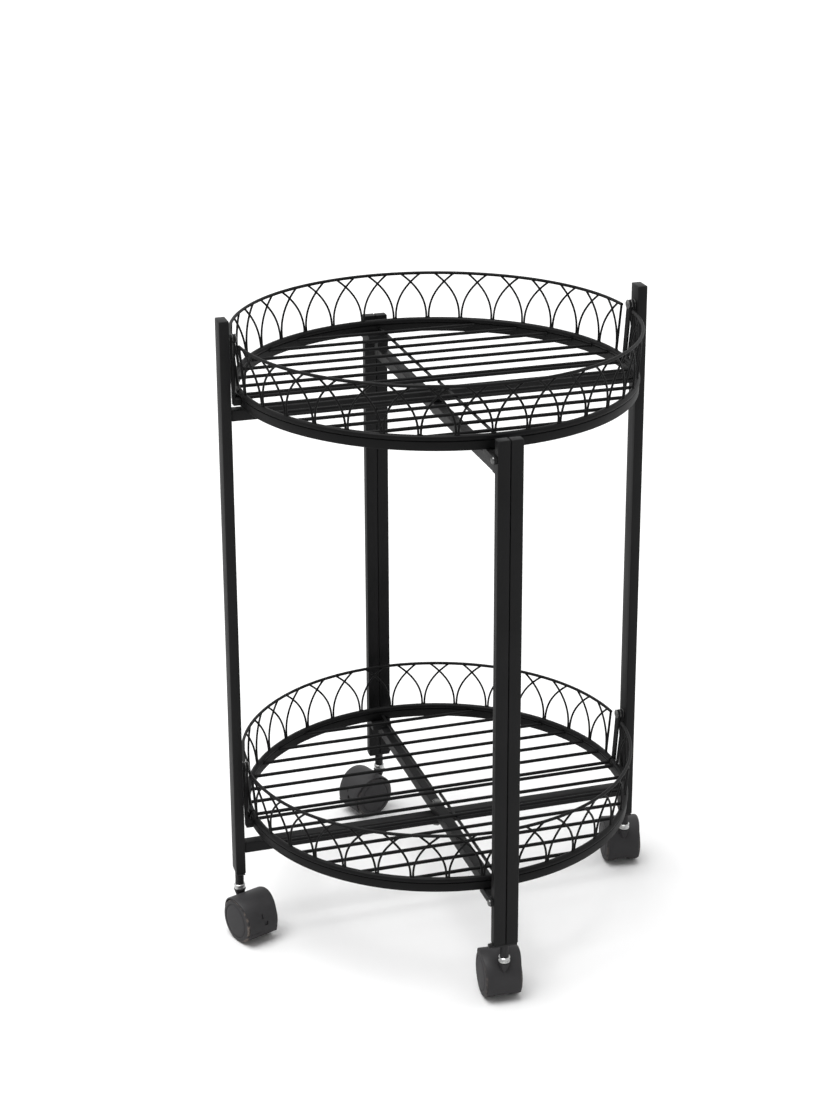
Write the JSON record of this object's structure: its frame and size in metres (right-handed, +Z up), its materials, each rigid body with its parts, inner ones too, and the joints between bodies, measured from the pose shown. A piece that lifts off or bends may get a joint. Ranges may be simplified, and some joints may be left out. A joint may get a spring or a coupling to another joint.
{
  "type": "bar cart",
  "caption": "Round folding bar cart with upper and lower slatted wire trays, crossed tube frames and twin-wheel casters.",
  "frame": {"origin": "on the floor in the middle of the overall box, 3.2 mm right of and 7.1 mm behind the pivot bolts", "axes": "+X to the right leg, +Y to the back leg, +Z up"},
  "size_m": [0.4764, 0.4648, 0.6583],
  "materials": {
    "main_leg_left": "satin black powder coat",
    "main_leg_right": "satin black powder coat",
    "main_bar_lower": "satin black powder coat",
    "main_bar_upper": "satin black powder coat",
    "pivot_bolt_lower": "bright zinc plate",
    "pivot_bolt_upper": "bright zinc plate",
    "hinge_rivet_lower_left": "bright zinc plate",
    "hinge_rivet_lower_right": "bright zinc plate",
    "hinge_rivet_upper_left": "bright zinc plate",
    "hinge_rivet_upper_right": "bright zinc plate",
    "caster_left_socket": "matte moulded black",
    "caster_right_socket": "matte moulded black",
    "cross_bar_lower": "satin black powder coat",
    "cross_bar_upper": "satin black powder coat",
    "cross_leg_front_left": "satin black powder coat",
    "cross_leg_front_right": "satin black powder coat",
    "cross_leg_back_left": "satin black powder coat",
    "cross_leg_back_right": "satin black powder coat",
    "yoke_bolt_front_lower": "bright zinc plate",
    "yoke_bolt_front_upper": "bright zinc plate",
    "yoke_bolt_back_lower": "bright zinc plate",
    "yoke_bolt_back_upper": "bright zinc plate",
    "caster_front_socket": "matte moulded black",
    "caster_back_socket": "matte moulded black",
    "tray_lower_front_base": "satin black powder coat",
    "tray_lower_front_fence": "satin black powder coat",
    "tray_lower_front_arm_left": "satin black powder coat",
    "tray_lower_front_arm_right": "satin black powder coat",
    "tray_lower_back_base": "satin black powder coat",
    "tray_lower_back_fence": "satin black powder coat",
    "tray_lower_back_arm_left": "satin black powder coat",
    "tray_lower_back_arm_right": "satin black powder coat",
    "tray_upper_front_base": "satin black powder coat",
    "tray_upper_front_fence": "satin black powder coat",
    "tray_upper_front_arm_left": "satin black powder coat",
    "tray_upper_front_arm_right": "satin black powder coat",
    "tray_upper_back_base": "satin black powder coat",
    "tray_upper_back_fence": "satin black powder coat",
    "tray_upper_back_arm_left": "satin black powder coat",
    "tray_upper_back_arm_right": "satin black powder coat",
    "caster_left_hood": "matte moulded black",
    "caster_left_stem": "bright zinc plate",
    "caster_left_axle": "bright zinc plate",
    "caster_left_wheel_a": "matte moulded black",
    "caster_left_wheel_b": "matte moulded black",
    "caster_right_hood": "matte moulded black",
    "caster_right_stem": "bright zinc plate",
    "caster_right_axle": "bright zinc plate",
    "caster_right_wheel_a": "matte moulded black",
    "caster_right_wheel_b": "matte moulded black",
    "caster_front_hood": "matte moulded black",
    "caster_front_stem": "bright zinc plate",
    "caster_front_axle": "bright zinc plate",
    "caster_front_wheel_a": "matte moulded black",
    "caster_front_wheel_b": "matte moulded black",
    "caster_back_hood": "matte moulded black",
    "caster_back_stem": "bright zinc plate",
    "caster_back_axle": "bright zinc plate",
    "caster_back_wheel_a": "matte moulded black",
    "caster_back_wheel_b": "matte moulded black"
  },
  "bodies": {
    "main_frame": {"main_leg_left": "main_leg_left", "main_leg_right": "main_leg_right", "main_bar_lower": "main_bar_lower", "main_bar_upper": "main_bar_upper", "pivot_bolt_lower": "pivot_bolt_lower", "pivot_bolt_upper": "pivot_bolt_upper", "hinge_rivet_lower_left": "hinge_rivet_lower_left", "hinge_rivet_lower_right": "hinge_rivet_lower_right", "hinge_rivet_upper_left": "hinge_rivet_upper_left", "hinge_rivet_upper_right": "hinge_rivet_upper_right", "caster_left_socket": "caster_left_socket", "caster_right_socket": "caster_right_socket"},
    "cross_frame": {"cross_bar_lower": "cross_bar_lower", "cross_bar_upper": "cross_bar_upper", "cross_leg_front_left": "cross_leg_front_left", "cross_leg_front_right": "cross_leg_front_right", "cross_leg_back_left": "cross_leg_back_left", "cross_leg_back_right": "cross_leg_back_right", "yoke_bolt_front_lower": "yoke_bolt_front_lower", "yoke_bolt_front_upper": "yoke_bolt_front_upper", "yoke_bolt_back_lower": "yoke_bolt_back_lower", "yoke_bolt_back_upper": "yoke_bolt_back_upper", "caster_front_socket": "caster_front_socket", "caster_back_socket": "caster_back_socket"},
    "tray_lower_front": {"tray_lower_front_base": "tray_lower_front_base", "tray_lower_front_fence": "tray_lower_front_fence", "tray_lower_front_arm_left": "tray_lower_front_arm_left", "tray_lower_front_arm_right": "tray_lower_front_arm_right"},
    "tray_lower_back": {"tray_lower_back_base": "tray_lower_back_base", "tray_lower_back_fence": "tray_lower_back_fence", "tray_lower_back_arm_left": "tray_lower_back_arm_left", "tray_lower_back_arm_right": "tray_lower_back_arm_right"},
    "tray_upper_front": {"tray_upper_front_base": "tray_upper_front_base", "tray_upper_front_fence": "tray_upper_front_fence", "tray_upper_front_arm_left": "tray_upper_front_arm_left", "tray_upper_front_arm_right": "tray_upper_front_arm_right"},
    "tray_upper_back": {"tray_upper_back_base": "tray_upper_back_base", "tray_upper_back_fence": "tray_upper_back_fence", "tray_upper_back_arm_left": "tray_upper_back_arm_left", "tray_upper_back_arm_right": "tray_upper_back_arm_right"},
    "caster_left": {"caster_left_hood": "caster_left_hood", "caster_left_stem": "caster_left_stem", "caster_left_axle": "caster_left_axle"},
    "caster_left_wheel_a": {"caster_left_wheel_a": "caster_left_wheel_a"},
    "caster_left_wheel_b": {"caster_left_wheel_b": "caster_left_wheel_b"},
    "caster_right": {"caster_right_hood": "caster_right_hood", "caster_right_stem": "caster_right_stem", "caster_right_axle": "caster_right_axle"},
    "caster_right_wheel_a": {"caster_right_wheel_a": "caster_right_wheel_a"},
    "caster_right_wheel_b": {"caster_right_wheel_b": "caster_right_wheel_b"},
    "caster_front": {"caster_front_hood": "caster_front_hood", "caster_front_stem": "caster_front_stem", "caster_front_axle": "caster_front_axle"},
    "caster_front_wheel_a": {"caster_front_wheel_a": "caster_front_wheel_a"},
    "caster_front_wheel_b": {"caster_front_wheel_b": "caster_front_wheel_b"},
    "caster_back": {"caster_back_hood": "caster_back_hood", "caster_back_stem": "caster_back_stem", "caster_back_axle": "caster_back_axle"},
    "caster_back_wheel_a": {"caster_back_wheel_a": "caster_back_wheel_a"},
    "caster_back_wheel_b": {"caster_back_wheel_b": "caster_back_wheel_b"}
  },
  "joints": [
    {"name": "cross_frame_turn", "type": "hinge", "parent": "main_frame", "child": "cross_frame", "pos_m": [-0.0032, -0.0071, 0.3], "axis": [0, 0, 1], "range_deg": [0, 60]},
    {"name": "tray_lower_front_fold", "type": "hinge", "parent": "main_frame", "child": "tray_lower_front", "pos_m": [-0.0032, -0.0071, 0.1848], "axis": [-1, 0, 0], "range_deg": [0, 90]},
    {"name": "tray_lower_back_fold", "type": "hinge", "parent": "main_frame", "child": "tray_lower_back", "pos_m": [-0.0032, -0.0071, 0.1848], "axis": [1, 0, 0], "range_deg": [0, 90]},
    {"name": "tray_upper_front_fold", "type": "hinge", "parent": "main_frame", "child": "tray_upper_front", "pos_m": [-0.0032, -0.0071, 0.6383], "axis": [-1, 0, 0], "range_deg": [0, 90]},
    {"name": "tray_upper_back_fold", "type": "hinge", "parent": "main_frame", "child": "tray_upper_back", "pos_m": [-0.0032, -0.0071, 0.6383], "axis": [1, 0, 0], "range_deg": [0, 90]},
    {"name": "caster_left_swivel", "type": "hinge", "parent": "main_frame", "child": "caster_left", "pos_m": [-0.2175, -0.0071, 0.05], "axis": [0, 0, 1], "continuous": true},
    {"name": "caster_left_roll_a", "type": "hinge", "parent": "caster_left", "child": "caster_left_wheel_a", "pos_m": [-0.21066, -0.02589, 0.023], "axis": [0.9397, 0.342, 0], "continuous": true},
    {"name": "caster_left_roll_b", "type": "hinge", "parent": "caster_left", "child": "caster_left_wheel_b", "pos_m": [-0.21066, -0.02589, 0.023], "axis": [0.9397, 0.342, 0], "continuous": true},
    {"name": "caster_right_swivel", "type": "hinge", "parent": "main_frame", "child": "caster_right", "pos_m": [0.2111, -0.0071, 0.05], "axis": [0, 0, 1], "continuous": true},
    {"name": "caster_right_roll_a", "type": "hinge", "parent": "caster_right", "child": "caster_right_wheel_a", "pos_m": [0.2144, 0.01263, 0.023], "axis": [-0.9863, 0.165, 0], "continuous": true},
    {"name": "caster_right_roll_b", "type": "hinge", "parent": "caster_right", "child": "caster_right_wheel_b", "pos_m": [0.2144, 0.01263, 0.023], "axis": [-0.9863, 0.165, 0], "continuous": true},
    {"name": "caster_front_swivel", "type": "hinge", "parent": "cross_frame", "child": "caster_front", "pos_m": [-0.0032, -0.22567, 0.05], "axis": [0, 0, 1], "continuous": true},
    {"name": "caster_front_roll_a", "type": "hinge", "parent": "caster_front", "child": "caster_front_wheel_a", "pos_m": [-0.00146, -0.20574, 0.023], "axis": [-0.9962, 0.0872, 0], "continuous": true},
    {"name": "caster_front_roll_b", "type": "hinge", "parent": "caster_front", "child": "caster_front_wheel_b", "pos_m": [-0.00146, -0.20574, 0.023], "axis": [-0.9962, 0.0872, 0], "continuous": true},
    {"name": "caster_back_swivel", "type": "hinge", "parent": "cross_frame", "child": "caster_back", "pos_m": [-0.0032, 0.21147, 0.05], "axis": [0, 0, 1], "continuous": true},
    {"name": "caster_back_roll_a", "type": "hinge", "parent": "caster_back", "child": "caster_back_wheel_a", "pos_m": [-0.02193, 0.20446, 0.023], "axis": [0.3502, -0.9367, 0], "continuous": true},
    {"name": "caster_back_roll_b", "type": "hinge", "parent": "caster_back", "child": "caster_back_wheel_b", "pos_m": [-0.02193, 0.20446, 0.023], "axis": [0.3502, -0.9367, 0], "continuous": true}
  ]
}
